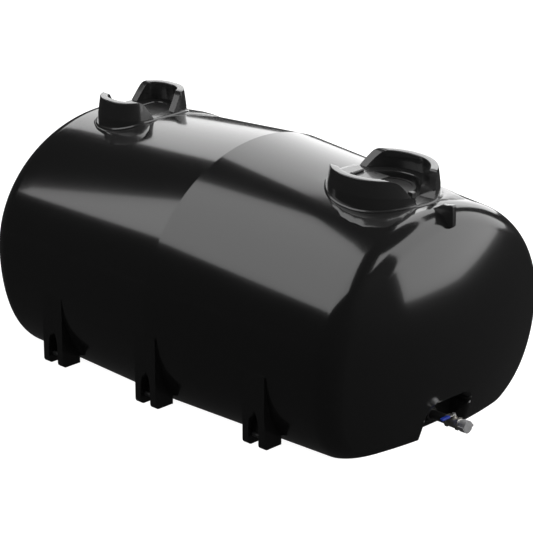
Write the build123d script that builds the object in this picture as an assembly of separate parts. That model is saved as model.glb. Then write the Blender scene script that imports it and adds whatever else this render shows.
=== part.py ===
from build123d import *
from math import sqrt
import os

# Horizontal cartage tank, moulded in black plastic. Millimetres.
# X runs along the tank with the outlet end at +X, Z is up, and the origin is
# on the floor under the middle of the tank.

# Tank body: two halves that taper from a sharp crease ring at the middle.
tank_length = 3400
mid_half_width = 1029
mid_crown = 1546
rim_half_width = 972
rim_crown = 1434
rim_setback = 266          # the end pieces begin this far from the tips
waist_height = 610
belly_depth = 173          # how far the full lower curve would reach under the floor
belly_rise = 25            # how much of that is gone at the rim
belly_fullness = 0.783     # 0.552 gives an ellipse, 1 gives a square corner
wall = 12

# Bulging ends: an upright arc turned about an upright axis, with a round corner.
end_upright_radius = 2000
end_level_radius = 2800
end_middle_height = 700
end_corner = 190

# Tie-down lugs, three on each side.
lug_spacing = 921
lug_width = 186
lug_proud = 2              # out from the widest line of the body
lug_top = 480
lug_depth = 150
lug_corner = 30
lug_slot_width = 86
lug_slot_top = 235
lug_slot_spring = 100      # where the arch of the slot begins
tie_bar_diameter = 30
tie_bar_height = 62
tie_bar_inset = 45

# Front hatch: a well with a hinged lid between two round guards.
front_hatch_setback = 632
front_ledge_rise = 33      # over the crown at the middle of the hatch
front_guard_height = 110
front_guard_radius = 335
front_well_radius = 222
front_well_depth = 49
front_mouth_radius = 150
front_tongue_half = 150    # the ledge runs back between the guards until it meets the crown
front_tongue_reach = 120
front_back_gap = 130       # half the way between the guards at the back, at the ledge
front_drain_gap = 80       # half the way between them at the drain, at the floor of the well
front_skirt_place = (152, 190)
front_skirt_drops = (66, 196)
front_skirt_radii = (190, 260)
spout_half = 62
spout_reach = 45
spout_groove_radius = 30

# Rear hatch: narrower along the tank, with squared guards and a fixed cover.
rear_hatch_setback = 628
rear_ledge_rise = 23
rear_guard_height = 120
rear_half_x = 190
rear_half_y = 305
rear_corner = 120
rear_well_half_x = 105
rear_well_half_y = 200
rear_well_corner = 60
rear_mouth_inset = 25
rear_cover_thickness = 12
rear_cover_drop = 10
rear_gap = 90
rear_skirt_place = (207, 285)
rear_skirt_drops = (45, 185)
rear_skirt_radii = (140, 210)

# What both hatches share.
guard_draft = 7            # degrees
guard_wall = 42
guard_edge = 8
guard_lean = 0.7           # how far a guard's end leans back for each unit of height
guard_shoulder = 60
lip_rise = 12
lip_reach = 20
cup_wall = 12

# Lid, hinge and staple of the front hatch.
lid_rim_gap = 36
lid_thickness = 14
lid_rim_height = 6
lid_rim_width = 16
seat_gap = 0.4
leaf_length = 165
leaf_half = 100
leaf_thickness = 8
leaf_web_half = 40
leaf_slot_length = 26
leaf_slot_width = 8
leaf_slot_y = 82
leaf_slot_places = (29, 65)
hinge_setback = 236
hinge_rise = 8
hinge_pin_diameter = 10
hinge_running_gap = 0.08
hinge_knuckle_diameter = 20
hinge_knuckle_width = 60
hinge_ear_width = 20
hinge_ear_gap = 1
hinge_room_gap = 6
staple_x = 216
staple_length = 40
staple_width = 30
staple_height = 38
staple_hole = 14

# Lifting fin on the crown of the outlet end.
fin_thickness = 33
fin_setback = 240          # where its back meets the crown
fin_head_setback = 72
fin_head_rise = 60
fin_neck_rise = 48
fin_neck_run = 80
fin_depth = 165
fin_hole = 22
fin_hole_setback = 140
fin_hole_rise = 14

# Outlet pocket in the foot of the front end.
pocket_half_width = 200
pocket_top = 240
pocket_corner = 90
pocket_depth = 245
pocket_wall = 12

# Outlet: flange, nipple, ball valve, hose adapter and its capped end.
outlet_height = 86
outlet_bore = 50
flange_diameter = 110
flange_thickness = 14
flange_nut_across = 84
flange_nut_length = 20
nipple_diameter = 60
nipple_length = 121
valve_length = 104
valve_barrel_diameter = 70
valve_hex_across = 72
valve_hex_length = 20
bonnet_diameter = 34
bonnet_height = 46
stem_diameter = 12
stem_gap = 0.08
stem_depth = 13
lever_gap = 0.5
lever_length = 112
lever_width = 20
lever_thickness = 5
lever_hub_diameter = 30
stem_nut_across = 19
stem_nut_height = 8
grip_length = 78
grip_width = 26
grip_thickness = 11
grip_overhang = 6
adapter_length = 58
adapter_diameter = 63
groove_diameter = 54
groove_width = 12
cap_diameter = 80
cap_length = 44
cap_end_wall = 8
cap_gap = 0.4
arm_length = 46
arm_width = 14
arm_thickness = 9

# Worked out from the sizes above.
half_length = tank_length / 2
rim_station = half_length - rim_setback
front_hatch_x = half_length - front_hatch_setback
rear_hatch_x = rear_hatch_setback - half_length
pocket_back_x = half_length - pocket_depth
valve_start = pocket_back_x + flange_thickness + flange_nut_length + nipple_length
valve_x = valve_start + valve_length / 2

os.makedirs("parts", exist_ok=True)


def save(shape, name):
    export_step(shape, "parts/" + name + ".step")


def cylinder_x(x, y, z, radius, length):
    """A cylinder along X that starts at x."""
    return Pos(x + length / 2, y, z) * Rot(0, 90, 0) * Cylinder(radius, length)


def cylinder_y(x, y, z, radius, length):
    """A cylinder along Y centred on y."""
    return Pos(x, y, z) * Rot(90, 0, 0) * Cylinder(radius, length)


def above(level):
    """Everything above a level, as a block larger than the tank."""
    size = 2 * tank_length
    return Pos(0, 0, level + size / 2) * Box(size, size, size)


def between(start, end):
    """Everything between two stations along X."""
    size = 2 * tank_length
    return Pos((start + end) / 2, 0, 0) * Box(abs(end - start), size, size)


def crown_at(x):
    """Height of the crown of the body at x."""
    return mid_crown + (rim_crown - mid_crown) * abs(x) / rim_station


def half_width_at(x):
    """Half of the greatest width of the body at x."""
    return mid_half_width + (rim_half_width - mid_half_width) * abs(x) / rim_station


def body_section(x, inset):
    """Outline of the body across the tank at x, set in by a wall."""
    share = abs(x) / rim_station
    half = half_width_at(x) - inset
    top = crown_at(x) - inset
    bottom = belly_rise * share - belly_depth + inset
    flank = waist_height - (waist_height - bottom) * belly_fullness
    keel = half * belly_fullness
    upper = EllipticalCenterArc((0, waist_height), half, top - waist_height, start_angle=0, arc_size=180)
    left = Bezier((-half, waist_height), (-half, flank), (-keel, bottom), (0, bottom))
    right = Bezier((0, bottom), (keel, bottom), (half, flank), (half, waist_height))
    plane = Plane(origin=(x, 0, 0), x_dir=(0, 1, 0), z_dir=(1, 0, 0))
    return plane * make_face([upper, left, right])


def end_bulge(inset):
    """A drum on an upright axis whose side is an arc, for the bulging end."""
    radius = end_upright_radius - inset
    axis_x = half_length - end_level_radius
    nose = end_level_radius - inset
    reach = 0.6 * end_upright_radius
    sag = radius - sqrt(radius ** 2 - reach ** 2)
    low = end_middle_height - reach
    high = end_middle_height + reach
    arc = ThreePointArc((sag - nose, low), (-nose, end_middle_height), (sag - nose, high))
    back = Polyline((sag - nose, high), (0, high), (0, low), (sag - nose, low))
    drum = revolve(Plane.XZ * make_face([arc, back]), Axis.Z)
    return Pos(axis_x, 0, 0) * drum


def half_form(inset):
    """The +X half of the body as a solid, round corner and flat foot included."""
    block = loft([body_section(0, inset), body_section(half_length + rim_setback, inset)], ruled=True)
    form = block & end_bulge(inset)
    rim = form.edges().filter_by(lambda edge: edge.bounding_box().min.X > rim_station - rim_setback)
    return fillet(rim, end_corner - inset) & above(inset)


def pocket_block(grow):
    """The arch of the outlet pocket, run along X from its back wall out through the end."""
    start = pocket_back_x - grow
    arch = RectangleRounded(2 * (pocket_half_width + grow), 2 * (pocket_top + grow), pocket_corner + grow)
    plane = Plane(origin=(start, 0, 0), x_dir=(0, 1, 0), z_dir=(1, 0, 0))
    return extrude(plane * arch, half_length - start) & above(0)


def front_cup():
    """What the well of the front hatch takes out of the tank."""
    return Pos(front_hatch_x, 0, front_floor()) * Cylinder(front_well_radius + cup_wall, 4 * front_well_depth)


def front_ledge():
    return crown_at(front_hatch_x) + front_ledge_rise


def front_floor():
    return front_ledge() - front_well_depth


def rear_ledge():
    return crown_at(rear_hatch_x) + rear_ledge_rise


def rear_plan(grow):
    return RectangleRounded(2 * (rear_half_x + grow), 2 * (rear_half_y + grow), rear_corner + grow)


def rear_opening(grow):
    return RectangleRounded(
        2 * (rear_well_half_x + grow), 2 * (rear_well_half_y + grow), rear_well_corner + grow)


def rear_hole(grow):
    """A rounded hole through the tank under the rear cover."""
    depth = 4 * (rear_ledge_rise + wall)
    return Pos(rear_hatch_x, 0, rear_ledge() - depth) * extrude(rear_opening(grow), 2 * depth)


def make_body():
    """Both half shells, both ends and the pocket; hands back the two halves of the outer form."""
    front = half_form(0)
    hollow = half_form(wall)
    rear = mirror(front, Plane.YZ)
    skin = front - hollow
    back_skin = mirror(skin, Plane.YZ)
    side = between(0, rim_station)
    tip = between(rim_station, tank_length)
    save((skin & side) - front_cup(), "shell_front_half")
    save((back_skin & mirror(side, Plane.YZ)) - rear_hole(cup_wall), "shell_rear_half")
    save((skin & tip) - pocket_block(pocket_wall), "front_end")
    save(back_skin & mirror(tip, Plane.YZ), "rear_end")
    bore = cylinder_x(pocket_back_x - 2 * pocket_wall, 0, outlet_height, outlet_bore / 2, 4 * pocket_wall)
    pocket = (pocket_block(pocket_wall) - pocket_block(0)) & front
    save(pocket - bore, "outlet_pocket")
    return front, rear


def lug(x, outer):
    """A tie-down lug on the -Y side: a pillar with an arched slot through it."""
    face_y = -half_width_at(x) - lug_proud
    pillar = Pos(x, face_y + lug_depth / 2, lug_top / 2) * Box(lug_width, lug_depth, lug_top)
    foot = pillar.edges().filter_by(Axis.X).group_by(Axis.Z)[0].sort_by(Axis.Y)[0]
    pillar = fillet(foot, lug_corner)
    arch = Pos(0, lug_slot_spring) * Ellipse(lug_slot_width / 2, lug_slot_top - lug_slot_spring)
    arch = arch + Rectangle(lug_slot_width, 2 * lug_slot_spring)
    plane = Plane(origin=(x, face_y - wall, 0), x_dir=(1, 0, 0), z_dir=(0, -1, 0))
    cut = extrude(plane * arch, -lug_depth - 2 * wall)
    return pillar - outer - cut


def tie_bar(x):
    y = -half_width_at(x) - lug_proud + tie_bar_inset
    return cylinder_x(x - lug_slot_width / 2, y, tie_bar_height, tie_bar_diameter / 2, lug_slot_width)


def make_lugs(front, rear):
    for name, x, outer in (("rear", -lug_spacing, rear), ("middle", 0, front + rear), ("front", lug_spacing, front)):
        pillar = lug(x, outer)
        bar = tie_bar(x)
        save(pillar, "tie_lug_right_" + name)
        save(mirror(pillar, Plane.XZ), "tie_lug_left_" + name)
        save(bar, "tie_bar_right_" + name)
        save(mirror(bar, Plane.XZ), "tie_bar_left_" + name)


def lane(low, high, right, left, right_round, left_round, start, end):
    """
    The way along X between two guards. right and left give its half widths
    at the bottom and at the top, where the ends of the guards are rounded.
    """
    spread = 2 * guard_shoulder
    sky = high + guard_edge
    outline = make_face(Polyline(
        (-right[0], low),
        (left[0], low),
        (left[1], high),
        (left[1] + spread, high),
        (left[1] + spread, sky),
        (-right[1] - spread, sky),
        (-right[1] - spread, high),
        (-right[1], high),
        close=True))
    corners = outline.vertices().filter_by(lambda v: abs(v.Y - high) < 1)
    inner = corners.sort_by(Axis.X)[1:3]
    outline = fillet(inner[1], left_round)
    corner = outline.vertices().filter_by(lambda v: abs(v.Y - high) < 1 and abs(v.X + right[1]) < 1)
    outline = fillet(corner, right_round)
    plane = Plane(origin=(start, 0, 0), x_dir=(0, 1, 0), z_dir=(1, 0, 0))
    return extrude(plane * outline, end - start)


def guard_ring(plan, ledge, height):
    """A drafted ring with rounded top edges, for a pair of guards."""
    outside = extrude(plan(0), height, taper=guard_draft)
    inside = extrude(plan(-guard_wall), height, taper=guard_draft)
    ring = outside - inside
    rims = ring.edges().group_by(Axis.Z)[-1]
    return Pos(0, 0, ledge) * fillet(rims, guard_edge)


def collar(plan, x, ledge, centre, drops, radii, outer):
    """The moulded base of a hatch: upstand, a lip that hugs the tank and two skirts."""
    low = ledge - drops[1]
    height = drops[1] - drops[0]
    upstand = Pos(0, 0, low) * extrude(plan(0), ledge - low)
    lip = Pos(x, 0, low) * extrude(plan(lip_reach), ledge - low)
    hug = grown_body(1 if x > 0 else -1)
    base = (Pos(x, 0, 0) * upstand) + (lip & hug)
    for side in (-1, 1):
        skirt = Cone(radii[1], radii[0], height)
        base = base + Pos(x + centre[0], side * centre[1], low + height / 2) * skirt
    return base - outer


def grown_body(side):
    """One half of the body, larger all round by the height of the lip."""
    sections = [body_section(0, -lip_rise), body_section(side * half_length, -lip_rise)]
    return loft(sections, ruled=True)


def front_plan(grow):
    return Circle(front_guard_radius + grow)


def front_lanes(low):
    """The ways out of the front hatch: to the hinge at the back, to the drain at the front."""
    ledge = front_ledge()
    top = ledge + front_guard_height
    lean = guard_lean * front_guard_height
    x = front_hatch_x
    reach = 2 * front_guard_radius
    back = front_back_gap + lean
    rear_way = lane(
        ledge, top, (front_back_gap, back), (front_back_gap, back), guard_shoulder, guard_shoulder, x - reach, x)
    near = front_drain_gap + guard_lean * (top - low)
    far = front_drain_gap + guard_lean / 2 * (top - low)
    drain_way = lane(
        low, top, (front_drain_gap, near), (front_drain_gap, far), 1.5 * guard_shoulder, guard_edge, x, x + reach)
    return rear_way, drain_way


def make_front_hatch(outer):
    ledge = front_ledge()
    floor = front_floor()
    place = Pos(front_hatch_x, 0, 0)
    base = collar(
        front_plan, front_hatch_x, ledge, front_skirt_place, front_skirt_drops, front_skirt_radii, outer)
    tongue = Pos(-front_guard_radius, 0, ledge - front_well_depth / 2) * Box(
        2 * front_tongue_reach, 2 * front_tongue_half, front_well_depth)
    spout = make_spout(floor)
    base = base + (place * (tongue + spout) - outer)
    cup = Pos(0, 0, floor - cup_wall + (front_well_depth + cup_wall) / 2) * Cylinder(
        front_well_radius + cup_wall, front_well_depth + cup_wall)
    base = base + place * cup
    well = Pos(0, 0, floor + front_well_depth) * Cylinder(front_well_radius, 2 * front_well_depth)
    mouth = Pos(0, 0, floor) * Cylinder(front_mouth_radius, 4 * cup_wall)
    rear_way, drain_way = front_lanes(floor)
    base = base - place * (well + mouth) - drain_way
    base = add_hinge(base, place, ledge)
    save(base, "front_hatch_collar")
    ring = place * guard_ring(front_plan, ledge, front_guard_height)
    both = (ring - rear_way - drain_way).solids().sort_by(Axis.Y)
    save(both[0], "front_guard_right")
    save(both[-1], "front_guard_left")
    block = Pos(staple_x, 0, floor + staple_height / 2) * Box(staple_length, staple_width, staple_height)
    top = block.edges().filter_by(Axis.Y).group_by(Axis.Z)[-1]
    block = fillet(top, staple_hole / 2)
    hole = cylinder_y(staple_x, 0, floor + 0.6 * staple_height, staple_hole / 2, 2 * staple_width)
    save(place * (block - hole), "front_lid_staple")


def make_spout(floor):
    """The grooved lip that leads rain from the well on to the end of the tank."""
    start = front_guard_radius - spout_reach
    end = front_guard_radius + spout_reach
    drop = crown_at(front_hatch_x + start) - crown_at(front_hatch_x + end)
    side = make_face(Polyline(
        (start, floor),
        (end - spout_reach, floor),
        (end, floor - drop),
        (end, floor - front_well_depth),
        (start, floor - front_well_depth),
        close=True))
    plane = Plane(origin=(0, spout_half, 0), x_dir=(1, 0, 0), z_dir=(0, -1, 0))
    return extrude(plane * side, 2 * spout_half)


def add_hinge(base, place, ledge):
    """Room for the lid's leaf, two ears and the pin's bore; saves the pin."""
    axis_z = ledge + hinge_rise
    room_start = -hinge_setback - hinge_knuckle_diameter / 2 - hinge_room_gap
    room_end = -front_well_radius + front_well_radius / 4
    room_depth = leaf_thickness + hinge_room_gap
    room = Pos((room_start + room_end) / 2, 0, ledge) * Box(
        room_end - room_start, hinge_knuckle_width + 2 * hinge_ear_gap, 2 * room_depth)
    base = base - place * room
    ear_y = hinge_knuckle_width / 2 + hinge_ear_gap + hinge_ear_width / 2
    for side in (-1, 1):
        ear = cylinder_y(-hinge_setback, side * ear_y, axis_z, hinge_knuckle_diameter / 2, hinge_ear_width)
        post = Pos(-hinge_setback, side * ear_y, ledge + hinge_rise / 2) * Box(
            hinge_knuckle_diameter, hinge_ear_width, hinge_rise)
        base = base + place * (ear + post)
    pin_length = hinge_knuckle_width + 2 * hinge_ear_gap + 2 * hinge_ear_width
    pin = cylinder_y(-hinge_setback, 0, axis_z, hinge_pin_diameter / 2, pin_length)
    save(place * pin, "front_hinge_pin")
    return base - place * pin


def make_front_lid():
    """Round plate with a raised rim, a broad slotted leaf over it and the hinge knuckle."""
    place = Pos(front_hatch_x, 0, 0)
    ledge = front_ledge()
    low = front_floor() + seat_gap
    top = low + lid_thickness
    radius = front_well_radius - lid_rim_gap
    plate = Pos(0, 0, low + lid_thickness / 2) * Cylinder(radius, lid_thickness)
    rim = Pos(0, 0, top + lid_rim_height / 2) * (
        Cylinder(radius, lid_rim_height) - Cylinder(radius - lid_rim_width, lid_rim_height))
    leaf_start = -hinge_setback + hinge_knuckle_diameter / 2 + hinge_room_gap
    leaf_end = leaf_start + leaf_length
    leaf = Pos((leaf_start + leaf_end) / 2, 0, ledge - leaf_thickness / 2) * Box(
        leaf_length, 2 * leaf_half, leaf_thickness)
    leaf = leaf & (Pos(0, 0, ledge) * Cylinder(front_well_radius - hinge_room_gap, 2 * front_well_depth))
    for along in leaf_slot_places:
        for side in (-1, 1):
            leaf = leaf - Pos(leaf_start + along, side * leaf_slot_y, ledge) * Box(
                leaf_slot_length, leaf_slot_width, 4 * leaf_thickness)
    web_low = top - lid_rim_height
    web_start = -radius + lid_rim_width / 2
    web = Pos((web_start + leaf_end) / 2, 0, (web_low + ledge - leaf_thickness) / 2) * Box(
        leaf_end - web_start, 2 * leaf_web_half, ledge - leaf_thickness - web_low)
    axis_z = ledge + hinge_rise
    arm_start = -hinge_setback
    arm_end = -front_well_radius + front_well_radius / 4
    arm = Pos((arm_start + arm_end) / 2, 0, ledge - leaf_thickness / 2) * Box(
        arm_end - arm_start, hinge_knuckle_width, leaf_thickness)
    knuckle = cylinder_y(-hinge_setback, 0, axis_z, hinge_knuckle_diameter / 2, hinge_knuckle_width)
    bore = cylinder_y(
        -hinge_setback, 0, axis_z, hinge_pin_diameter / 2 + hinge_running_gap, 2 * hinge_knuckle_width)
    save(place * (plate + rim + leaf + web + arm + knuckle - bore), "front_lid")


def make_rear_hatch(outer):
    place = Pos(rear_hatch_x, 0, 0)
    ledge = rear_ledge()
    base = collar(
        rear_plan, rear_hatch_x, ledge, rear_skirt_place, rear_skirt_drops, rear_skirt_radii, outer)
    seat = ledge - rear_cover_drop - rear_cover_thickness
    base = base + place * Pos(0, 0, seat - cup_wall) * extrude(rear_opening(cup_wall), ledge - seat + cup_wall)
    well = place * Pos(0, 0, seat) * extrude(rear_opening(0), 2 * (ledge - seat))
    save(base - well - rear_hole(-rear_mouth_inset), "rear_hatch_collar")
    cover = Pos(0, 0, seat) * extrude(rear_opening(-seat_gap), rear_cover_thickness)
    save(place * cover, "rear_cover")
    top = ledge + rear_guard_height
    half = rear_gap + guard_lean * rear_guard_height
    way = lane(
        ledge, top, (rear_gap, half), (rear_gap, half), guard_shoulder, guard_shoulder,
        -2 * rear_half_x, 2 * rear_half_x)
    both = (place * (guard_ring(rear_plan, ledge, rear_guard_height) - way)).solids().sort_by(Axis.Y)
    save(both[0], "rear_guard_right")
    save(both[-1], "rear_guard_left")


def make_fin(outer):
    back = half_length - fin_setback
    head = half_length - fin_head_setback
    crown = crown_at(back)
    profile = make_face(Polyline(
        (back, crown - fin_depth),
        (head, crown - fin_depth),
        (head, crown + fin_neck_rise),
        (head - fin_thickness / 2, crown + fin_head_rise - fin_thickness / 2),
        (head - fin_neck_run, crown + fin_neck_rise),
        (back, crown),
        close=True))
    plane = Plane(origin=(0, fin_thickness / 2, 0), x_dir=(1, 0, 0), z_dir=(0, -1, 0))
    fin = extrude(plane * profile, fin_thickness) - outer
    fin = fin.solids().sort_by(SortBy.VOLUME)[-1]
    hole_x = half_length - fin_hole_setback
    hole_z = crown_at(hole_x) + fin_hole_rise
    save(fin - cylinder_y(hole_x, 0, hole_z, fin_hole / 2, 2 * fin_thickness), "lifting_fin")


def hexagon_x(x, across, length):
    """A hexagonal prism along X on the outlet's axis."""
    plane = Plane(origin=(x, 0, outlet_height), x_dir=(0, 1, 0), z_dir=(1, 0, 0))
    return extrude(plane * RegularPolygon(across / 2, 6, major_radius=False), length)


def make_outlet():
    """Everything on the outlet's axis, from the tank wall to the dust cap."""
    z = outlet_height
    nut_start = pocket_back_x + flange_thickness
    nut_end = nut_start + flange_nut_length
    disc = cylinder_x(pocket_back_x, 0, z, flange_diameter / 2, flange_thickness)
    nut = hexagon_x(nut_start, flange_nut_across, flange_nut_length)
    bore = cylinder_x(pocket_back_x, 0, z, outlet_bore / 2, nut_end - pocket_back_x)
    save(disc + nut - bore, "tank_flange")
    nipple = cylinder_x(nut_end, 0, z, nipple_diameter / 2, nipple_length)
    save(nipple - cylinder_x(nut_end, 0, z, outlet_bore / 2, nipple_length), "outlet_nipple")
    make_valve(valve_start, valve_start + valve_length)
    make_lever()
    make_adapter(valve_start + valve_length)


def make_valve(start, end):
    z = outlet_height
    barrel = cylinder_x(start, 0, z, valve_barrel_diameter / 2, end - start)
    ends = hexagon_x(start, valve_hex_across, valve_hex_length)
    ends = ends + hexagon_x(end - valve_hex_length, valve_hex_across, valve_hex_length)
    bonnet = Pos(valve_x, 0, z + bonnet_height / 2) * Cylinder(bonnet_diameter / 2, bonnet_height)
    stem_hole = Pos(valve_x, 0, z + bonnet_height) * Cylinder(stem_diameter / 2 + stem_gap, 2 * stem_depth)
    mouth = cylinder_x(end - valve_hex_length, 0, z, outlet_bore / 2, valve_hex_length)
    save(barrel + ends + bonnet - stem_hole - mouth, "valve_body")


def make_lever():
    """Stem, hub, nut and blade in one; the grip is a sleeve over the blade."""
    top = outlet_height + bonnet_height
    low = top + lever_gap
    stem = Pos(valve_x, 0, top) * Cylinder(stem_diameter / 2, 2 * stem_depth - 2 * lever_gap)
    hub = Pos(valve_x, 0, low + lever_thickness / 2) * Cylinder(lever_hub_diameter / 2, lever_thickness)
    nut = Pos(valve_x, 0, low + lever_thickness) * extrude(
        RegularPolygon(stem_nut_across / 2, 6, major_radius=False), stem_nut_height)
    blade = Pos(valve_x, -lever_length / 2, low + lever_thickness / 2) * Box(
        lever_width, lever_length, lever_thickness)
    lever = stem + hub + nut + blade
    save(lever, "valve_lever")
    grip = extrude(RectangleRounded(grip_width, grip_length, grip_width / 2 - 1), grip_thickness)
    grip = fillet(grip.edges().group_by(Axis.Z)[-1], grip_thickness / 4)
    grip_y = -lever_length + grip_length / 2 - grip_overhang
    grip = Pos(valve_x, grip_y, low + lever_thickness / 2 - grip_thickness / 2) * grip
    save(grip - lever, "lever_grip")


def make_adapter(start):
    z = outlet_height
    groove_x = start + adapter_length - 2 * groove_width
    tube = cylinder_x(start, 0, z, adapter_diameter / 2, adapter_length)
    groove = cylinder_x(groove_x, 0, z, adapter_diameter / 2, groove_width) - cylinder_x(
        groove_x, 0, z, groove_diameter / 2, groove_width)
    save(tube - groove - cylinder_x(start, 0, z, outlet_bore / 2, adapter_length), "hose_adapter")
    cap_end = start + adapter_length + cap_end_wall
    cap_start = cap_end - cap_length
    cap = cylinder_x(cap_start, 0, z, cap_diameter / 2, cap_length)
    hollow = cylinder_x(cap_start, 0, z, adapter_diameter / 2 + cap_gap, cap_length - cap_end_wall)
    save(cap - hollow, "dust_cap")
    for name, side in (("right", -1), ("left", 1)):
        arm = Pos(cap_start + cap_length / 2, side * (cap_diameter + arm_thickness) / 2, z) * Box(
            arm_length, arm_thickness, arm_width)
        save(arm - cap, "cap_arm_" + name)


front_form, rear_form = make_body()
make_lugs(front_form, rear_form)
make_front_hatch(front_form)
make_front_lid()
make_rear_hatch(rear_form)
make_fin(front_form)
make_outlet()
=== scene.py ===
import bpy
import bmesh
import math
from mathutils import Matrix, Vector
from mathutils.bvhtree import BVHTree


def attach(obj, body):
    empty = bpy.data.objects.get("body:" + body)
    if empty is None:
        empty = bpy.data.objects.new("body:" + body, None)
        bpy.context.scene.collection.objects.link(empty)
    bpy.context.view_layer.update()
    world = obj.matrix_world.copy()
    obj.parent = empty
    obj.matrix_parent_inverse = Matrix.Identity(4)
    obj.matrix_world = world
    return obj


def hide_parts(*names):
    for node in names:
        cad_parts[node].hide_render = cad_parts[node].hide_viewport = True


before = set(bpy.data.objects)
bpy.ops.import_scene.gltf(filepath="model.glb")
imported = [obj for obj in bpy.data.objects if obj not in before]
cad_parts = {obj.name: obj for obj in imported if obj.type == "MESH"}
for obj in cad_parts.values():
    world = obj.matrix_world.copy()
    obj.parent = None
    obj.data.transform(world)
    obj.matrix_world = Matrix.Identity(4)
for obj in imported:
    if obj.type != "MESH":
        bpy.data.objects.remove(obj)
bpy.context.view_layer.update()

# Camera, matched to the photograph. Metres, and a 533 by 533 picture.
view = {
    "place": (11.488, -11.535, 6.772),
    "target": (0.030, 0.019, 0.666),
    "lens": 181.91,
    "sensor": 36.0,
}


def addCamera():
    data = bpy.data.cameras.new("viewCamera")
    data.lens = view["lens"]
    data.sensor_width = view["sensor"]
    camera = bpy.data.objects.new("viewCamera", data)
    bpy.context.scene.collection.objects.link(camera)
    place = Vector(view["place"])
    camera.location = place
    camera.rotation_euler = (Vector(view["target"]) - place).to_track_quat("-Z", "Y").to_euler()
    bpy.context.scene.camera = camera


addCamera()
print("camera placed")


# A wire is one output of a node. Sums on wires add Math nodes.
class Wire:
    def __init__(self, finish, socket):
        self.finish = finish
        self.socket = socket

    def math(self, operation, first, second):
        return self.finish.node("ShaderNodeMath", {"operation": operation}, {0: first, 1: second})

    def __add__(self, other):
        return self.math("ADD", self, other)

    def __radd__(self, other):
        return self.math("ADD", other, self)

    def __sub__(self, other):
        return self.math("SUBTRACT", self, other)

    def __rsub__(self, other):
        return self.math("SUBTRACT", other, self)

    def __mul__(self, other):
        return self.math("MULTIPLY", self, other)

    def __rmul__(self, other):
        return self.math("MULTIPLY", other, self)

    def __getitem__(self, name):
        return Wire(self.finish, self.socket.node.outputs[name])


class Finish:
    def __init__(self, name, world=False):
        if world:
            self.data = bpy.data.worlds.new(name)
        else:
            self.data = bpy.data.materials.new(name)
        self.data.use_nodes = True
        self.tree = self.data.node_tree
        self.tree.nodes.clear()

    # Any node: its settings first, then the values or links of its sockets.
    def node(self, kind, settings=None, sockets=None, output=0):
        made = self.tree.nodes.new(kind)
        for name, value in (settings or {}).items():
            setattr(made, name, value)
        for name, value in (sockets or {}).items():
            if isinstance(value, Wire):
                self.tree.links.new(value.socket, made.inputs[name])
            else:
                made.inputs[name].default_value = value
        return Wire(self, made.outputs[output])


def outputNode(finish, kind, surface):
    made = finish.tree.nodes.new(kind)
    finish.tree.links.new(surface.socket, made.inputs["Surface"])
    return finish.data


def grey(value, alpha=1.0):
    return (value, value, value, alpha)


# Studio: big soft panels round the tank, black cards between them, a white ground.
studio = {
    "aim": 0.7,
    "ambient": 0.25,
    "floorSize": 60,
    "floorPaper": 0.35,
    "floorGlow": 0.97,
    "cardTone": 0.03,
    "cardPoints": 48,
    "cardDistance": 24.0,
    "cardLift": 0.001,                       # of the card under the tank, off the floor
    "drumShare": 1.01,                       # of the card distance
    "drumPoints": (32, 16),
    "overCard": (1.5, 0.02, 3.2, 0.80),      # x, y, z and radius of the small card overhead
    # Rows of the upright strip: x, y, z and half width.
    "strip": ((1.35, 2.2, 0.5, 0.27), (1.35, 2.2, 2.6, 0.27), (1.46, 1.0, 3.15, 0.32)),
    "sideX": 2.4,
    # Corners of the side card: y and z.
    "side": ((-1.8, 0.6), (-0.06, 0.6), (-0.06, 0.86), (-0.10, 1.155), (-0.36, 2.48),
             (-0.40, 2.9), (-1.8, 2.9)),
}


def direction(azimuth, elevation):
    # Azimuth 0 looks out along -Y, 90 along +X.
    a, e = math.radians(azimuth), math.radians(elevation)
    return Vector((math.sin(a) * math.cos(e), -math.cos(a) * math.cos(e), math.sin(e)))


def softbox(name, place, facing, roll, size, radiance):
    # place: azimuth, elevation, metres away. facing: azimuth and elevation of its back.
    data = bpy.data.lights.new(name, "AREA")
    data.shape = "RECTANGLE"
    data.size, data.size_y = size
    data.energy = radiance * math.pi * data.size * data.size_y
    lamp = bpy.data.objects.new(name, data)
    bpy.context.scene.collection.objects.link(lamp)
    azimuth, elevation, distance = place
    lamp.location = direction(azimuth, elevation) * distance + Vector((0, 0, studio["aim"]))
    out = direction(*facing)
    turn = out.to_track_quat("Z", "Y").to_matrix() @ Matrix.Rotation(math.radians(roll), 3, "Z")
    lamp.rotation_euler = turn.to_euler()
    lamp.visible_camera = False


softbox("panelBackLeft", (-139.6, 22.87, 10.124), (-156.6, 32.6), -42.3, (7.0, 11.9), 1.9)
softbox("panelBackRight", (143.65, 23.8, 4.804), (112.6, 58.6), 33.4, (10.38, 8.4), 2.1)
softbox("panelAbove", (-27.1, 42.4, 6.9), (-120.4, 67.2), 62.2, (6.9, 6.3), 1.8)


def directly(finish):
    # 1 for rays that see the ground itself: from the camera, or by way of gloss or glass.
    path = finish.node("ShaderNodeLightPath")
    return path["Is Camera Ray"] + path["Is Glossy Ray"] + path["Is Transmission Ray"]


def addWorld():
    finish = Finish("studioWorld", world=True)
    strength = directly(finish) * (1 - studio["ambient"]) + studio["ambient"]
    back = finish.node("ShaderNodeBackground", None, {"Color": grey(1.0), "Strength": strength})
    bpy.context.scene.world = outputNode(finish, "ShaderNodeOutputWorld", back)


addWorld()


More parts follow.
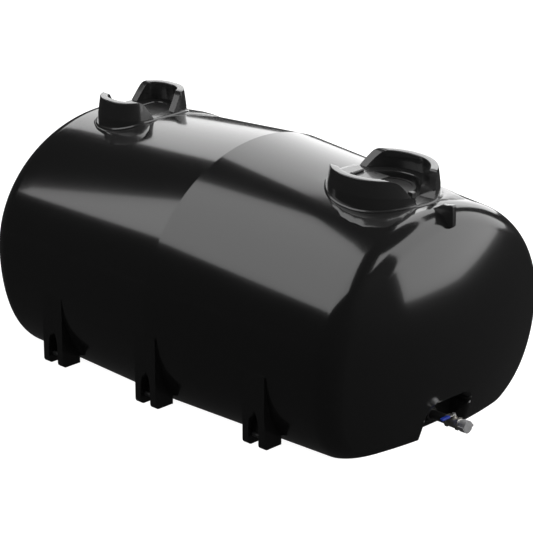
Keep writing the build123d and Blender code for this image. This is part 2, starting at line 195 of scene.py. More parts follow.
def addFloor():
    mesh = bpy.data.meshes.new("floor")
    bm = bmesh.new()
    bmesh.ops.create_grid(bm, x_segments=1, y_segments=1, size=studio["floorSize"])
    bm.to_mesh(mesh)
    bm.free()
    floor = bpy.data.objects.new("floor", mesh)
    bpy.context.scene.collection.objects.link(floor)
    finish = Finish("floorPaper")
    paper = finish.node("ShaderNodeBsdfDiffuse", None, {"Color": grey(studio["floorPaper"])})
    strength = directly(finish) * studio["floorGlow"]
    glow = finish.node("ShaderNodeEmission", None, {"Color": grey(1.0), "Strength": strength})
    both = finish.node("ShaderNodeAddShader", None, {0: paper, 1: glow})
    mesh.materials.append(outputNode(finish, "ShaderNodeOutputMaterial", both))


addFloor()


def addCard(name, bm, material):
    mesh = bpy.data.meshes.new(name)
    bm.to_mesh(mesh)
    bm.free()
    mesh.materials.append(material)
    card = bpy.data.objects.new(name, mesh)
    bpy.context.scene.collection.objects.link(card)
    card.visible_camera = False
    card.visible_diffuse = False
    card.visible_transmission = False
    card.visible_shadow = False


def roundCard(x, y, z, radius):
    bm = bmesh.new()
    bmesh.ops.create_circle(bm, cap_ends=True, segments=studio["cardPoints"], radius=radius)
    bmesh.ops.translate(bm, verts=bm.verts, vec=(x, y, z))
    return bm


def drumCard():
    bm = bmesh.new()
    across, up = studio["drumPoints"]
    radius = studio["cardDistance"] * studio["drumShare"]
    bmesh.ops.create_uvsphere(bm, u_segments=across, v_segments=up, radius=radius)
    return bm


def stripCard():
    bm = bmesh.new()
    rows = [[bm.verts.new((x + side * half, y, z)) for side in (-1, 1)]
            for x, y, z, half in studio["strip"]]
    for a, b in zip(rows, rows[1:]):
        bmesh.ops.contextual_create(bm, geom=a + b)
    return bm


def sideCard():
    bm = bmesh.new()
    corners = [bm.verts.new((studio["sideX"], y, z)) for y, z in studio["side"]]
    bmesh.ops.contextual_create(bm, geom=corners)
    return bm


def addCards():
    # Black cards, seen only in reflections: one under the tank, a drum round it, and
    # three by the front end that bound the bright patch there.
    finish = Finish("blackCard")
    black = finish.node("ShaderNodeEmission", None, {"Color": grey(1.0), "Strength": studio["cardTone"]})
    material = outputNode(finish, "ShaderNodeOutputMaterial", black)
    addCard("cardUnder", roundCard(0, 0, studio["cardLift"], studio["cardDistance"]), material)
    addCard("cardRound", drumCard(), material)
    addCard("cardOver", roundCard(*studio["overCard"]), material)
    addCard("cardBetween", stripCard(), material)
    addCard("cardSide", sideCard(), material)


addCards()
bpy.context.scene.view_settings.view_transform = "Standard"
print("studio lit")


# Moulded plastic: broad changes of polish, a fine orange peel and a clear sheen.
plastic = {
    "cloud": 2.0,
    "cloudRange": 0.05,
    "peel": 260.0,
    "peelStrength": 0.02,
    "peelDepth": 0.001,
    "coat": 0.6,
    "coatRoughness": 0.08,
    "coatIndex": 1.5,
}


def clouds(finish, scale, detail):
    place = finish.node("ShaderNodeTexCoord", None, None, "Object")
    return finish.node("ShaderNodeTexNoise", None, {"Vector": place, "Scale": scale, "Detail": detail})


def shaded(finish, cloud, tone, shade):
    # A colour that darkens in clouds.
    return finish.node("ShaderNodeMix", {"data_type": "RGBA"}, {
        "Factor": cloud, "A": [c * shade for c in tone] + [1.0], "B": list(tone) + [1.0]}, "Result")


def blackPlastic(name, rough, tone):
    finish = Finish(name)
    broad = clouds(finish, plastic["cloud"], 3.0)
    fine = clouds(finish, plastic["peel"], 2.0)
    roughness = rough + (broad - 0.5) * plastic["cloudRange"]
    peel = finish.node("ShaderNodeBump", None, {
        "Strength": plastic["peelStrength"], "Distance": plastic["peelDepth"], "Height": fine})
    skin = finish.node("ShaderNodeBsdfPrincipled", None, {
        "Base Color": grey(tone), "Roughness": roughness, "Normal": peel,
        "Coat Weight": plastic["coat"], "Coat Roughness": plastic["coatRoughness"],
        "Coat IOR": plastic["coatIndex"]})
    return outputNode(finish, "ShaderNodeOutputMaterial", skin)


# Cast or drawn metal: cloudy roughness and a fine grain.
bright = {
    "shade": 0.8,            # of the darker clouds
    "roughRange": 0.2,
    "grainShare": 12,        # how much finer the grain is than the clouds
    "grainStrength": 0.1,
    "grainDepth": 0.0005,
}


def metal(name, tone, rough, scale):
    finish = Finish(name)
    cloud = clouds(finish, scale, 4.0)
    grain = clouds(finish, scale * bright["grainShare"], 2.0)
    bump = finish.node("ShaderNodeBump", None, {
        "Strength": bright["grainStrength"], "Distance": bright["grainDepth"], "Height": grain})
    skin = finish.node("ShaderNodeBsdfPrincipled", None, {
        "Base Color": shaded(finish, cloud, tone, bright["shade"]),
        "Roughness": rough + (cloud - 0.5) * bright["roughRange"],
        "Metallic": 1.0, "Normal": bump})
    return outputNode(finish, "ShaderNodeOutputMaterial", skin)


# Dipped vinyl with a slightly worn sheen.
dip = {
    "cloud": 60.0,
    "shade": 0.7,
    "roughRange": 0.15,
}


def vinyl(name, tone, rough):
    finish = Finish(name)
    cloud = clouds(finish, dip["cloud"], 3.0)
    skin = finish.node("ShaderNodeBsdfPrincipled", None, {
        "Base Color": shaded(finish, cloud, tone, dip["shade"]),
        "Roughness": rough + (cloud - 0.5) * dip["roughRange"]})
    return outputNode(finish, "ShaderNodeOutputMaterial", skin)


finishes = {
    "tank_plastic": blackPlastic("tankBlack", 0.16, 0.006),
    "hatch_plastic": blackPlastic("hatchBlack", 0.26, 0.014),
    "fitting_plastic": blackPlastic("fittingBlack", 0.36, 0.018),
    "bar_steel": blackPlastic("barBlack", 0.42, 0.02),
    "pin_steel": metal("pinSteel", (0.55, 0.55, 0.56), 0.35, 90.0),
    "valve_metal": metal("valveMetal", (0.62, 0.60, 0.56), 0.45, 70.0),
    "lever_steel": metal("leverSteel", (0.75, 0.75, 0.75), 0.42, 90.0),
    "grip_blue": vinyl("gripBlue", (0.012, 0.035, 0.30), 0.4),
    "coupling_metal": metal("couplingMetal", (0.88, 0.88, 0.89), 0.5, 60.0),
}
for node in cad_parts.values():
    for i, material in enumerate(node.data.materials):
        node.data.materials[i] = finishes[material.name.split(".")[0]]
print("materials set")


def addPiece(name, bm, slot, rider, *nodes):
    bmesh.ops.recalc_face_normals(bm, faces=bm.faces)
    mesh = bpy.data.meshes.new(name)
    bm.to_mesh(mesh)
    bm.free()
    piece = bpy.data.objects.new(name, mesh)
    bpy.context.scene.collection.objects.link(piece)
    mesh.materials.append(finishes[slot])
    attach(piece, rider)
    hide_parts(*nodes)
    return piece


def around(faces):
    # Faces with their edges and corners, for a cut.
    edges = {e for f in faces for e in f.edges}
    return list(faces) + list(edges) + list({v for e in edges for v in e.verts})


def scoreFaces(bm, isNear, point, normal):
    # Splits the faces near a place along a plane and takes nothing away.
    faces = [f for f in bm.faces if isNear(f.calc_center_median())]
    bmesh.ops.bisect_plane(bm, geom=around(faces), plane_co=point, plane_no=normal)


def cutAndCap(bm, faces, point, normal):
    # Cuts a closed solid by a plane, drops the outer part and closes the cut.
    cut = bmesh.ops.bisect_plane(
        bm, geom=around(faces), plane_co=point, plane_no=normal, clear_outer=True)
    rim = [e for e in cut["geom_cut"] if isinstance(e, bmesh.types.BMEdge)]
    if rim:
        bmesh.ops.contextual_create(bm, geom=rim)


def startRing(count):
    # A ring of points to extrude from. Each point keeps its place along the ring.
    bm = bmesh.new()
    bmesh.ops.create_circle(bm, segments=count, radius=1.0)
    bm.verts.ensure_lookup_table()
    key = bm.verts.layers.int.new("place")
    for i, v in enumerate(bm.verts):
        v[key] = i
    return bm, key


def newVerts(out):
    return [g for g in out["geom"] if isinstance(g, bmesh.types.BMVert)]


def nextRing(bm, edges):
    # Extrudes a ring and gives the points and edges of the new one.
    out = bmesh.ops.extrude_edge_only(bm, edges=edges)
    verts = newVerts(out)
    new = [g for g in out["geom"] if isinstance(g, bmesh.types.BMEdge)
           and all(v in verts for v in g.verts)]
    return verts, new


def sharpen(bm, degrees):
    for f in bm.faces:
        f.smooth = True
    for e in bm.edges:
        e.smooth = e.is_boundary or e.calc_face_angle(0) < math.radians(degrees)


# Lengths too short to see, for comparing places.
speck = 1e-5
hair = 1e-6

# Body of the tank: two tapering halves and their rounded ends, in metres.
body = {
    "halfWidth": 1.029,      # at the crease ring
    "crown": 1.546,
    "above": 2.0,            # clear of the crown, where rays start
    "rimHalfWidth": 0.972,   # at the rim station
    "rimCrown": 1.434,
    "rimStation": 1.434,
    "waist": 0.610,
    "bellyDepth": 0.173,
    "bellyRise": 0.025,
    "fullness": 0.783,
    "length": 3.400,
    "endUprightRadius": 2.000,
    "endLevelRadius": 2.800,
    "endHeight": 0.700,
    "corner": 0.190,
    "around": 96,            # points of a quarter of a ring
    "along": 12,             # steps from the crease ring to the corner
    "samples": 2000,
    "search": (40, 0.7),     # steps towards a corner, and how much of the way each goes
    "step": 0.002,
    "cornerRings": 16,
    "cornerBlend": 6,        # the higher, the later the corner runs into the end
    # Rings of the end, as shares of its rim.
    "shrink": (0.985, 0.96, 0.92, 0.86, 0.79, 0.71, 0.62, 0.53, 0.44, 0.35, 0.27, 0.19, 0.12, 0.06),
}


def sectionPoint(x, turn):
    # Point and outward direction of the tank's outline at x. turn runs 0 to 4, a quarter each.
    share = abs(x) / body["rimStation"]
    half = body["halfWidth"] + (body["rimHalfWidth"] - body["halfWidth"]) * share
    top = body["crown"] + (body["rimCrown"] - body["crown"]) * share
    low = -body["bellyDepth"] + body["bellyRise"] * share
    waist = body["waist"]
    if turn <= 2:
        a = turn * math.pi / 2
        y, z = half * math.cos(a), waist + (top - waist) * math.sin(a)
        dy, dz = -half * math.sin(a), (top - waist) * math.cos(a)
    else:
        side = -1 if turn < 3 else 1
        t = turn - 2 if turn < 3 else 4 - turn
        f = body["fullness"]
        ys = (half, half, half * f, 0)
        zs = (waist, waist - (waist - low) * f, low, low)
        b = ((1 - t) ** 3, 3 * t * (1 - t) ** 2, 3 * t * t * (1 - t), t ** 3)
        d = (-3 * (1 - t) ** 2, 3 * (1 - t) ** 2 - 6 * t * (1 - t),
             6 * t * (1 - t) - 3 * t * t, 3 * t * t)
        y = side * sum(p * q for p, q in zip(ys, b))
        z = sum(p * q for p, q in zip(zs, b))
        dy = side * sum(p * q for p, q in zip(ys, d))
        dz = sum(p * q for p, q in zip(zs, d))
        if side > 0:
            dy, dz = -dy, -dz
    size = math.hypot(dy, dz) or 1
    return y, z, dz / size, -dy / size


def endFace(y, z):
    # How far out the bulging end reaches: an upright arc turned about an upright axis.
    upright, level = body["endUprightRadius"], body["endLevelRadius"]
    reach = level - upright + math.sqrt(upright ** 2 - (z - body["endHeight"]) ** 2)
    return body["length"] / 2 - level + math.sqrt(max(reach ** 2 - y * y, 0))


def cornerOf(turn):
    # Where the side meets the end, and the slope of the two there.
    tries, share = body["search"]
    x = body["length"] / 2
    for i in range(tries):
        y, z, ny, nz = sectionPoint(x, turn)
        x += (endFace(y, z) - x) * share
    step = body["step"]
    slope = (endFace(y - ny * step, z - nz * step) - endFace(y, z)) / step
    back = sectionPoint(x - step, turn)
    taper = ((back[0] - y) * ny + (back[1] - z) * nz) / step
    return x, y, z, ny, nz, slope, taper


def evenTurns():
    # Turns spread by length, so that the faces stay even.
    count, steps = 4 * body["around"], body["samples"]
    samples = [sectionPoint(0, 4 * i / steps) for i in range(steps + 1)]
    lengths = [0]
    for a, b in zip(samples, samples[1:]):
        lengths.append(lengths[-1] + math.hypot(b[0] - a[0], b[1] - a[1]))
    turns = []
    j = 0
    for i in range(count):
        want = lengths[-1] * i / count
        while lengths[j + 1] < want:
            j += 1
        part = (want - lengths[j]) / (lengths[j + 1] - lengths[j])
        turns.append(4 * (j + part) / steps)
    return turns


def cornerPoint(corner, k):
    # Point k of the rounded corner, for the end at +X.
    x, y, z, ny, nz, slope, taper = corner
    radius, count = body["corner"], body["cornerRings"]
    # Worked out in a plane: the first part runs out along X, the second in across the outline.
    back = Vector((-1, -taper)).normalized()
    inward = Vector((slope, 1)).normalized()
    half = back.angle(inward) / 2
    middle = (back + inward).normalized() * (radius / math.sin(half))
    start = back * (radius / math.tan(half)) - middle
    sweep = (math.pi - 2 * half) * k / count
    at = middle + Matrix.Rotation(sweep, 2) @ start
    v, w = y - ny * at[1], z - nz * at[1]
    out = x + at[0]
    # The last points run into the end's own surface.
    out += (endFace(v, w) - out) * (k / count) ** body["cornerBlend"]
    return out, v, w


def sideRings(turns, corners, side):
    # Rings of one half, from beside the crease to near the middle of the end.
    rounded = []
    for k in range(body["cornerRings"] + 1):
        points = [cornerPoint(corner, k) for corner in corners]
        rounded.append([(side * x, y, z) for x, y, z in points])
    rings = []
    for i in range(1, body["along"]):
        share = i / body["along"]
        ring = []
        for first, turn in zip(rounded[0], turns):
            x = first[0] * share
            y, z, ny, nz = sectionPoint(x, turn)
            ring.append((x, y, z))
        rings.append(ring)
    rings += rounded
    middle = body["endHeight"]
    for share in body["shrink"]:
        ring = []
        for x, y, z in rounded[-1]:
            v, w = y * share, middle + (z - middle) * share
            ring.append((side * endFace(v, w), v, w))
        rings.append(ring)
    return rings


def buildBody():
    turns = evenTurns()
    corners = [cornerOf(t) for t in turns]
    bm, key = startRing(len(turns))
    crease = list(bm.edges)
    for v in bm.verts:
        y, z, ny, nz = sectionPoint(0, turns[v[key]])
        v.co = (0, y, z)
    for side in (-1, 1):
        edges = crease
        for ring in sideRings(turns, corners, side):
            verts, edges = nextRing(bm, edges)
            for v in verts:
                v.co = ring[v[key]]
        caps = bmesh.ops.contextual_create(bm, geom=edges)
        for v in bmesh.ops.poke(bm, faces=caps["faces"])["verts"]:
            v.co.x = side * endFace(v.co.y, v.co.z)
    bmesh.ops.bisect_plane(
        bm, geom=bm.verts[:] + bm.edges[:] + bm.faces[:], plane_co=(0, 0, 0), plane_no=(0, 0, -1),
        clear_outer=True)
    rim = [e for e in bm.edges if e.is_boundary]
    bmesh.ops.contextual_create(bm, geom=rim)
    for f in bm.faces:
        f.smooth = True
    openHatches(bm)
    openPocket(bm)
    for e in bm.edges:
        if all(abs(v.co.x) < hair for v in e.verts) or all(abs(v.co.z) < hair for v in e.verts):
            e.smooth = False
    tree = BVHTree.FromBMesh(bm)
    addPiece("tankBody", bm, "tank_plastic", "tank", "shell_rear_half", "shell_front_half",
             "rear_end", "front_end", "outlet_pocket")
    return tree


# Openings of the body: under both hatches, and the outlet pocket.
openings = {
    "hatches": ((1.068, 0.24, 0.24), (-1.072, 0.13, 0.23)),   # place along X, half sizes
    "hatchTop": 1.25,         # no cut goes below this
    "hatchReach": 0.2,
    "chamfer": 0.72,          # where the cut corners start, as a share of the half sizes
    "pocketHalf": 0.200,
    "pocketTop": 0.240,
    "pocketCorner": 0.090,
    "pocketBack": 1.455,
    "zone": (1.3, 0.4),       # start along X, and the half width and height that cuts keep to
    "lip": 0.016,             # round of the pocket's mouth
    "lipSteps": 4,
    "fan": 9,
    "touch": 0.0006,          # faces this near the mouth go with it
    "offFloor": (0.001, 1e-4),    # least level of a face's centre, and of the rim's points
}


def openHatches(bm):
    reach, chamfer, top = openings["hatchReach"], openings["chamfer"], openings["hatchTop"]
    for x, halfX, halfY in openings["hatches"]:
        def near(c):
            return abs(c.x - x) < halfX + reach and abs(c.y) < halfY + reach and c.z > top
        for side in (-1, 1):
            scoreFaces(bm, near, (x + side * halfX, 0, 0), (1, 0, 0))
            scoreFaces(bm, near, (0, side * halfY, 0), (0, 1, 0))
            for other in (-1, 1):
                corner = (x + side * halfX * chamfer, other * halfY * chamfer, 0)
                scoreFaces(bm, near, corner, (side * halfY, other * halfX, 0))
        gone = []
        for f in bm.faces:
            c = f.calc_center_median()
            u, v = abs(c.x - x) / halfX, abs(c.y) / halfY
            if u < 1 and v < 1 and u + v < 2 * chamfer and c.z > top:
                gone.append(f)
        bmesh.ops.delete(bm, geom=gone, context="FACES")


def archOf(y, z, grow):
    # Distance outside the pocket's arch, and the way in.
    half, top = openings["pocketHalf"] + grow, openings["pocketTop"] + grow
    corner = openings["pocketCorner"] + grow
    side = 1 if y > 0 else -1
    u, v = abs(y) - (half - corner), z - (top - corner)
    if u > 0 and v > 0:
        size = math.hypot(u, v)
        return size - corner, (-side * u / size, -v / size)
    if u - corner > v - corner:
        return abs(y) - half, (-side, 0)
    return z - top, (0, -1)


def footFaces(bm, x):
    # Faces of the flat base beyond x.
    centres = [(f, f.calc_center_median()) for f in bm.faces]
    return [f for f, c in centres if abs(c.z) < speck and c.x > x]


def cutMouth(bm, near):
    # Scores the outline of the pocket's mouth and takes out the faces inside it.
    lip, back = openings["lip"], openings["pocketBack"]
    half, top = openings["pocketHalf"] + lip, openings["pocketTop"] + lip
    corner = openings["pocketCorner"] + lip
    foot = footFaces(bm, -body["length"])
    bmesh.ops.bisect_plane(bm, geom=around(foot), plane_co=(back, 0, 0), plane_no=(1, 0, 0))
    for side in (-1, 1):
        scoreFaces(bm, near, (0, side * half, 0), (0, 1, 0))
        foot = footFaces(bm, back)
        bmesh.ops.bisect_plane(bm, geom=around(foot), plane_co=(0, side * half, 0), plane_no=(0, 1, 0))
        for i in range(openings["fan"]):
            a = math.radians(90 * (i + 0.5) / openings["fan"])
            y, z = math.cos(a), math.sin(a)
            at = (0, side * (half - corner + corner * y), top - corner + corner * z)
            scoreFaces(bm, near, at, (0, side * y, z))
    scoreFaces(bm, near, (0, 0, top), (0, 0, 1))
    gone = []
    for f in bm.faces:
        c = f.calc_center_median()
        outside = archOf(c.y, max(c.z, openings["offFloor"][0]), lip)[0]
        if c.x > back and outside < openings["touch"] and c.z < openings["zone"][1]:
            gone.append(f)
    bmesh.ops.delete(bm, geom=gone, context="FACES")


def openPocket(bm):
    lip, back, steps = openings["lip"], openings["pocketBack"], openings["lipSteps"]
    start, size = openings["zone"]

    def near(c):
        return c.x > start and abs(c.y) < size and speck < c.z < size
    cutMouth(bm, near)
    loose = [v for v in bm.verts if near(v.co) or abs(v.co.z) < speck]
    bmesh.ops.remove_doubles(bm, verts=loose, dist=speck)
    edges = [e for e in bm.edges if e.is_boundary and e.verts[0].co.x > start
             and openings["offFloor"][1] < max(v.co.z for v in e.verts) < size]
    for i in range(steps + 1):
        verts, edges = nextRing(bm, edges)
        edges = [e for e in edges if e.is_boundary]
        for v in verts:
            if i == steps:
                v.co.x = back
                continue
            one, two = math.radians(90 * i / steps), math.radians(90 * (i + 1) / steps)
            way = archOf(v.co.y, v.co.z, 0)[1]
            inward = lip * (math.sin(two) - math.sin(one))
            v.co += Vector((-lip * (math.cos(one) - math.cos(two)), way[0] * inward, way[1] * inward))
            v.co.z = max(v.co.z, 0)
    wall = bmesh.ops.contextual_create(bm, geom=edges)
    for f in wall["faces"]:
        f.smooth = False


bodyTree = buildBody()
print("body made")


def surfaceAt(x, y):
    # Height of the body's skin under a point.
    hit = bodyTree.ray_cast(Vector((x, y, body["above"])), Vector((0, 0, -1)))[0]
    return hit.z


# Guards of both hatches: drafted rings with rounded tops, open where the lanes cross.
guards = {
    "front": {
        "x": 1.056, "ledge": 1.4956, "height": 0.110, "half": (0.349, 0.335), "corner": 0.335,
        "back": (0.130, 0.0, 0.70, 0.060),       # half width, level under the ledge, lean, shoulder
        "right": (0.080, 0.049, 0.70, 0.090),
        "left": (0.080, 0.049, 0.35, 0.020),
    },
    "rear": {
        "x": -1.107, "ledge": 1.4853, "height": 0.120, "half": (0.205, 0.310), "corner": 0.180,
        "back": (0.090, 0.0, 0.70, 0.060),
        "right": (0.090, 0.0, 0.70, 0.060),
        "left": (0.090, 0.0, 0.70, 0.060),
    },
    "wall": 0.050,
    "draft": 7.0,            # degrees
    "edge": 0.007,           # round of the rim
    "rounds": 4,
    "middle": 0.45,          # of the height, where each wall has one more ring
    "points": 30,            # round a corner
    "fan": 7,                # cuts that round a shoulder
    "bevel": 0.005,
    "bevelSteps": 3,
    "sharp": 38,             # degrees
}


def planPath(half, corner, grow):
    points = []
    radius = corner + grow
    for quarter in range(4):
        sx, sy = ((1, 1), (-1, 1), (-1, -1), (1, -1))[quarter]
        cx, cy = sx * (half[0] - corner), sy * (half[1] - corner)
        for i in range(guards["points"]):
            a = math.pi / 2 * (quarter + (i + 0.5) / guards["points"])
            points.append((cx + radius * math.cos(a), cy + radius * math.sin(a)))
    return points


def guardProfile(spec):
    # Level and growth of each ring, up the outside, over the top and down the inside.
    slope = math.tan(math.radians(guards["draft"]))
    edge, rounds = guards["edge"], guards["rounds"]
    height, thick = spec["height"], guards["wall"]
    middle = guards["middle"] * height
    rings = [(0, 0), (middle, -middle * slope)]
    for i in range(rounds + 1):
        a = math.radians(90 * i / rounds)
        level = height - edge + edge * math.sin(a)
        rings.append((level, -height * slope - edge + edge * math.cos(a)))
    for i in range(rounds + 1):
        a = math.radians(90 - 90 * i / rounds)
        level = height - edge + edge * math.sin(a)
        rings.append((level, -height * slope - thick + edge - edge * math.cos(a)))
    rings.append((middle, -thick - middle * slope))
    rings.append((0, -thick))
    return rings


def lanePlanes(side, width, under, lean, shoulder, height):
    # A leaning cut and the fan of cuts that rounds its upper corner, for the guard at +Y * side.
    slant = math.atan2(1, lean)
    foot = width + lean * under
    centre = foot + (shoulder + math.cos(slant) * (height - shoulder)) / math.sin(slant)
    steps = guards["fan"]
    cuts = [((foot, 0.0), (-math.sin(slant), math.cos(slant)))]
    for i in range(1, steps):
        a = math.radians(90) + slant * (1 - i / steps)
        y, z = math.cos(a), math.sin(a)
        cuts.append(((centre + shoulder * y, height - shoulder + shoulder * z), (y, z)))
    return [((side * p[0], p[1]), (side * n[0], n[1])) for p, n in cuts]


def buildGuard(hatch, side, name, node):
    spec = guards[hatch]
    bm, key = startRing(4 * guards["points"])
    verts, edges = list(bm.verts), list(bm.edges)
    rings = []
    for level, grow in guardProfile(spec):
        path = planPath(spec["half"], spec["corner"], grow)
        if rings:
            verts, edges = nextRing(bm, edges)
        for v in verts:
            x, y = path[v[key]]
            v.co = (spec["x"] + x, y, spec["ledge"] + level)
        rings.append(edges)
    bmesh.ops.bridge_loops(bm, edges=rings[0] + rings[-1])
    bmesh.ops.recalc_face_normals(bm, faces=bm.faces)
    for along, lane in ((-1, "back"), (1, "left" if side > 0 else "right")):
        for (y, z), normal in lanePlanes(side, *spec[lane], spec["height"]):
            faces = [f for f in bm.faces if (f.calc_center_median().x - spec["x"]) * along > 0]
            cutAndCap(bm, faces, (spec["x"], y, spec["ledge"] + z), (0, *normal))
    sharpen(bm, guards["sharp"])
    piece = addPiece(name, bm, "hatch_plastic", "tank", node)
    bevel = piece.modifiers.new("edges", "BEVEL")
    bevel.width = guards["bevel"]
    bevel.segments = guards["bevelSteps"]
    bevel.limit_method = "ANGLE"
    bevel.angle_limit = math.radians(guards["sharp"])


buildGuard("front", -1, "frontGuardRight", "front_guard_right")
buildGuard("front", 1, "frontGuardLeft", "front_guard_left")
buildGuard("rear", -1, "rearGuardRight", "rear_guard_right")
buildGuard("rear", 1, "rearGuardLeft", "rear_guard_left")
print("guards made")


# Moulded bases of the hatches. Each ring follows the guard's plan; the skirt's edge is
# given as distance from the middle of the hatch at angles from +X towards either side.
bases = {
    "front": {
        "well": (0.222, 0.222), "wellCorner": 0.222, "wellX": 1.068, "floor": 1.4466,
        "mouth": 0.150, "drain": 0.092,
        "skirt": ((0, 0.36), (14, 0.362), (27, 0.415), (36, 0.467), (45, 0.51), (60, 0.484), (72, 0.45),
                  (83, 0.424), (96, 0.385), (120, 0.36), (180, 0.36)),
    },
    "rear": {
        "well": (0.105, 0.200), "wellCorner": 0.060, "wellX": -1.072, "floor": 1.4640,
        "mouth": 0.0, "drain": 0.0,
        "skirt": ((0, 0.20), (33, 0.30), (37, 0.42), (43, 0.51), (48, 0.533), (54, 0.532), (63, 0.505),
                  (73, 0.45), (90, 0.36), (120, 0.33), (180, 0.2)),
    },
    "lipReach": 0.018,
    "lipRise": 0.020,
    "lipEdge": 0.007,
    "lipUnder": 0.7,         # of the rise, from the lip's top to its underside
    "lipGap": 0.002,         # least step from the ledge down to the lip
    "ledgeDrop": 0.001,
    "wellRound": 0.004,
    "mouthDepth": 0.012,
    "skirtRings": (0.15, 0.35, 0.6, 0.82, 1.0),
    "skirtOut": 0.62,        # powers that bend the skirt
    "skirtDown": 1.5,
    "leastReach": 1.005,
    "sink": 0.004,           # of the skirt's edge into the body
    "sharp": 42,             # degrees
}


def skirtAt(table, angle):
    for (a, r), (b, q) in zip(table, table[1:]):
        if angle <= b:
            t = (angle - a) / (b - a)
            t = t * t * (3 - 2 * t)
            return r + (q - r) * t
    return table[-1][1]


def wellRings(spec, mould, ledge):
    # From the mouth up the well's wall and out over the ledge, which the drain cuts through.
    shift = mould["wellX"] - spec["x"]
    floor, bend = mould["floor"], bases["wellRound"]

    def top(x, y):
        return floor if x > 0 and abs(y) < mould["drain"] else ledge

    def ring(path, level):
        return [(x + shift, y, level(x, y)) for x, y in path]
    well = planPath(mould["well"], mould["wellCorner"], 0)
    rim = planPath(mould["well"], mould["wellCorner"], bend)
    rings = []
    if mould["mouth"]:
        mouth = planPath((mould["mouth"], mould["mouth"]), mould["mouth"], 0)
        rings.append(ring(mouth, lambda x, y: floor - bases["mouthDepth"]))
        rings.append(ring(mouth, lambda x, y: floor))
    rings.append(ring(well, lambda x, y: floor))
    rings.append(ring(well, lambda x, y: top(x, y) - bend))
    rings.append(ring(rim, top))
    outer = planPath(spec["half"], spec["corner"], 0)
    rings.append([(x, y, top(x, y)) for x, y in outer])
    return rings


def lipRings(spec, ledgeRing):
    # The lip that hugs the guards' feet: down to it, out over it and under it.
    reach, edge, rise = bases["lipReach"], bases["lipEdge"], bases["lipRise"]
    lip = planPath(spec["half"], spec["corner"], reach)
    foot, crest, side, under = [], [], [], []
    for (x, y, top), (u, v) in zip(ledgeRing, lip):
        level = min(surfaceAt(spec["x"] + u, v) + rise, top - bases["lipGap"])
        foot.append((x, y, level))
        crest.append((u + (x - u) * edge / reach, v + (y - v) * edge / reach, level))
        side.append((u, v, level - edge))
        under.append((u, v, level - rise * bases["lipUnder"]))
    return [foot, crest, side, under]


def skirtRing(spec, mould, under, share):
    # One ring of the skirt, share of the way from the lip to the skirt's edge.
    ring = []
    for u, v, level in under:
        def skin(scale):
            return surfaceAt(spec["x"] + u * scale, v * scale) - bases["sink"]
        angle = abs(math.degrees(math.atan2(v, u)))
        reach = max(skirtAt(mould["skirt"], angle) / math.hypot(u, v), bases["leastReach"])
        out = 1 + (reach - 1) * share ** bases["skirtOut"]
        z = level + (skin(reach) - level) * share ** bases["skirtDown"]
        ring.append((u * out, v * out, max(z, skin(out))))
    return ring


def buildBase(hatch, name, node):
    spec, mould = guards[hatch], bases[hatch]
    rings = wellRings(spec, mould, spec["ledge"] - bases["ledgeDrop"])
    rings += lipRings(spec, rings[-1])
    under = rings[-1]
    rings += [skirtRing(spec, mould, under, share) for share in bases["skirtRings"]]
    bm, key = startRing(len(under))
    verts, edges = list(bm.verts), list(bm.edges)
    for i, ring in enumerate(rings):
        if i:
            verts, edges = nextRing(bm, edges)
        for v in verts:
            x, y, z = ring[v[key]]
            v.co = (spec["x"] + x, y, z)
    sharpen(bm, bases["sharp"])
    addPiece(name, bm, "hatch_plastic", "tank", node)


buildBase("front", "frontHatchBase", "front_hatch_collar")
buildBase("rear", "rearHatchBase", "rear_hatch_collar")


def slab(bm, outline, low, high):
    # An upright block over an outline given as points.
    made = [bm.verts.new((x, y, low)) for x, y in outline]
    face = bmesh.ops.contextual_create(bm, geom=made)["faces"]
    out = bmesh.ops.extrude_face_region(bm, geom=face)
    bmesh.ops.translate(bm, verts=newVerts(out), vec=(0, 0, high - low))


def softenEdges(bm, edges, width, steps):
    bmesh.ops.bevel(bm, geom=edges, offset=width, offset_type="OFFSET", segments=steps,
                    profile=0.5, affect="EDGES", material=-1)


# Seat of the lid's hinge: a tongue behind the hatch and two ears that hold the pin.
hinge = {
    "x": 0.832, "z": 1.5036, "ledge": 1.4946,
    "radius": 0.010, "earY": 0.041, "earWidth": 0.020,
    "earRoot": 0.01,         # how far the ears go down into the ledge
    "earPoints": 40,
    "tongue": ((0.683, -0.035), (0.683, 0.120), (0.700, 0.149), (0.780, 0.149),
               (0.780, -0.140), (0.730, -0.080)),
    "tongueLow": 1.470,
    "tongueTop": 1.4932,
    "tongueEdge": 0.003,
    "tongueSteps": 2,
    "sharp": 35,             # degrees
}


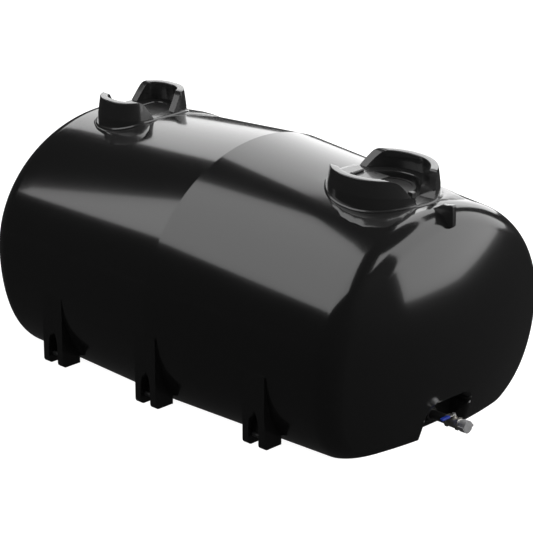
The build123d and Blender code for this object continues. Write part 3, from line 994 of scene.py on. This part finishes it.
def buildHinge():
    bm = bmesh.new()
    slab(bm, hinge["tongue"], hinge["tongueLow"], hinge["tongueTop"])
    bmesh.ops.recalc_face_normals(bm, faces=bm.faces)
    tops = [e for e in bm.edges if all(v.co.z > hinge["tongueTop"] - speck for v in e.verts)]
    softenEdges(bm, tops, hinge["tongueEdge"], hinge["tongueSteps"])
    x, z, r, w = hinge["x"], hinge["z"], hinge["radius"], hinge["earWidth"] / 2
    for side in (-1, 1):
        y = side * hinge["earY"]
        turn = Matrix.Translation((x, y, z)) @ Matrix.Rotation(math.radians(90), 4, "X")
        bmesh.ops.create_cone(bm, cap_ends=True, segments=hinge["earPoints"], radius1=r, radius2=r,
                              depth=hinge["earWidth"], matrix=turn)
        square = ((x - r, y - w), (x + r, y - w), (x + r, y + w), (x - r, y + w))
        slab(bm, square, hinge["ledge"] - hinge["earRoot"], z)
    sharpen(bm, hinge["sharp"])
    addPiece("hingeSeat", bm, "hatch_plastic", "tank", "front_hatch_collar")


buildHinge()
print("hatch bases made")


# Lifting fin on the crown of the outlet end: its outline along X and Z.
fin = {
    "outline": ((1.448, 1.412), (1.468, 1.429), (1.500, 1.443), (1.528, 1.462), (1.545, 1.470),
                (1.581, 1.473), (1.606, 1.4805), (1.620, 1.480), (1.6275, 1.470), (1.6275, 1.352),
                (1.615, 1.338), (1.586, 1.320), (1.560, 1.300), (1.448, 1.300)),
    "thick": 0.033,
    "edge": 0.005,
    "edgeSteps": 3,
    "sharp": 35,             # degrees
}


def buildFin():
    bm = bmesh.new()
    made = [bm.verts.new((x, -fin["thick"] / 2, z)) for x, z in fin["outline"]]
    face = bmesh.ops.contextual_create(bm, geom=made)["faces"]
    out = bmesh.ops.extrude_face_region(bm, geom=face)
    bmesh.ops.translate(bm, verts=newVerts(out), vec=(0, fin["thick"], 0))
    bmesh.ops.recalc_face_normals(bm, faces=bm.faces)
    rims = [e for e in bm.edges if abs(e.verts[0].co.y - e.verts[1].co.y) < hair]
    softenEdges(bm, rims, fin["edge"], fin["edgeSteps"])
    sharpen(bm, fin["sharp"])
    addPiece("liftingFin", bm, "hatch_plastic", "tank", "lifting_fin")


buildFin()
print("fin made")
